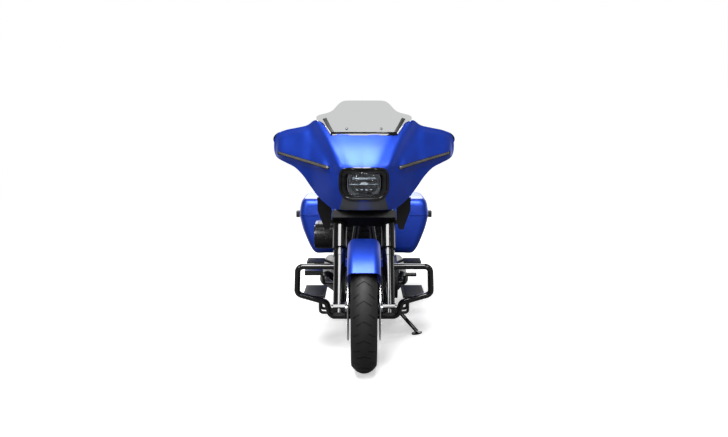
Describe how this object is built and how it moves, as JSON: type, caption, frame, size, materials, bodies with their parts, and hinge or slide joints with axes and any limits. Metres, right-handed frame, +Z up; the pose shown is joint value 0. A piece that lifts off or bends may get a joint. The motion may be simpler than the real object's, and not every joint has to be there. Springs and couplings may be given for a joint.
{
  "type": "touring cruiser motorcycle",
  "caption": "Touring cruiser motorcycle with a fork-mounted fairing, low screen, hard saddlebags and an open V-twin, leaning on its side stand",
  "frame": {"origin": "centre of the bounding box's bottom face, on the ground", "axes": "+Y to the rear, nose to -Y, +Z up, +X to the machine's left, the side it leans to"},
  "size_m": [0.9888, 2.3783, 1.3505],
  "materials": {
    "paint_blue": "gloss metallic",
    "paint_black": "gloss",
    "satin_black": "satin",
    "frame_black": "gloss",
    "engine_black": "wrinkle black",
    "machined": "machined",
    "cast_wheel": "gloss black",
    "tyre_rubber": "matt",
    "disc_steel": "brushed",
    "black_plastic": "grained",
    "gloss_plastic": "gloss",
    "lamp_glass": "clear",
    "screen_smoke": "smoked",
    "red_lens": "gloss",
    "amber_lens": "gloss",
    "seat_cover": "grained",
    "rubber": "matt"
  },
  "bodies": {
    "chassis": {"rear_fender": "paint_blue", "frame": "frame_black", "swingarm": "frame_black", "shocks": "satin_black", "drive_belt": "rubber", "rear_caliper": "satin_black", "cylinders": "engine_black", "cylinder_heads": "engine_black", "pushrod_tubes": "satin_black", "engine_cases": "engine_black", "primary_cover": "engine_black", "air_cleaner": "satin_black", "exhaust_pipes": "satin_black", "mufflers": "satin_black", "fuel_tank": "paint_blue", "tank_console": "paint_black", "seat": "seat_cover", "side_covers": "paint_black", "tail_lamp": "red_lens", "indicators": "red_lens", "plate_carrier": "black_plastic", "engine_guard": "frame_black", "footboards": "rubber", "shift_lever": "satin_black", "brake_pedal": "satin_black", "saddlebag_left": "paint_blue", "saddlebag_right": "paint_blue", "bag_supports": "satin_black"},
    "steering": {"front_fork": "satin_black", "steering_clamps": "satin_black", "front_fender": "paint_blue", "fairing_outer": "paint_blue", "fairing_skirt": "satin_black", "headlight_bezel": "gloss_plastic", "headlight": "lamp_glass", "light_strips": "amber_lens", "fairing_inner": "black_plastic", "windshield": "screen_smoke", "handlebar": "frame_black", "grips": "rubber", "hand_controls": "satin_black", "mirrors": "gloss_plastic", "deflectors": "gloss_plastic", "front_calipers": "satin_black"},
    "front_wheel": {"front_tyre": "tyre_rubber", "front_rim": "cast_wheel", "front_discs": "disc_steel"},
    "rear_wheel": {"rear_tyre": "tyre_rubber", "rear_rim": "cast_wheel", "rear_disc": "disc_steel", "rear_pulley": "machined"},
    "stand": {"side_stand": "frame_black"},
    "left_lid": {"lid_left": "paint_blue"},
    "right_lid": {"lid_right": "paint_blue"}
  },
  "joints": [
    {"name": "steering_turn", "type": "hinge", "parent": "chassis", "child": "steering", "pos_m": [-0.03734, -0.62812, 0.83347], "axis": [0.1406, 0.4384, 0.8877], "range_deg": [-32, 32]},
    {"name": "front_wheel_spin", "type": "hinge", "parent": "steering", "child": "front_wheel", "pos_m": [-0.11924, -0.8697, 0.31638], "axis": [0.9877, 0, -0.1564], "continuous": true},
    {"name": "rear_wheel_spin", "type": "hinge", "parent": "chassis", "child": "rear_wheel", "pos_m": [-0.11791, 0.7553, 0.32476], "axis": [0.9877, 0, -0.1564], "continuous": true},
    {"name": "stand_fold", "type": "hinge", "parent": "chassis", "child": "stand", "pos_m": [0.02589, -0.1772, 0.17157], "axis": [0.827, -0.08, 0.5565], "range_deg": [0, 97.5]},
    {"name": "left_lid_open", "type": "hinge", "parent": "chassis", "child": "left_lid", "pos_m": [0.11289, 0.3148, 0.72275], "axis": [0, -1, 0], "range_deg": [0, 70]},
    {"name": "right_lid_open", "type": "hinge", "parent": "chassis", "child": "right_lid", "pos_m": [-0.21443, 0.3148, 0.77459], "axis": [0, 1, 0], "range_deg": [0, 70]}
  ]
}
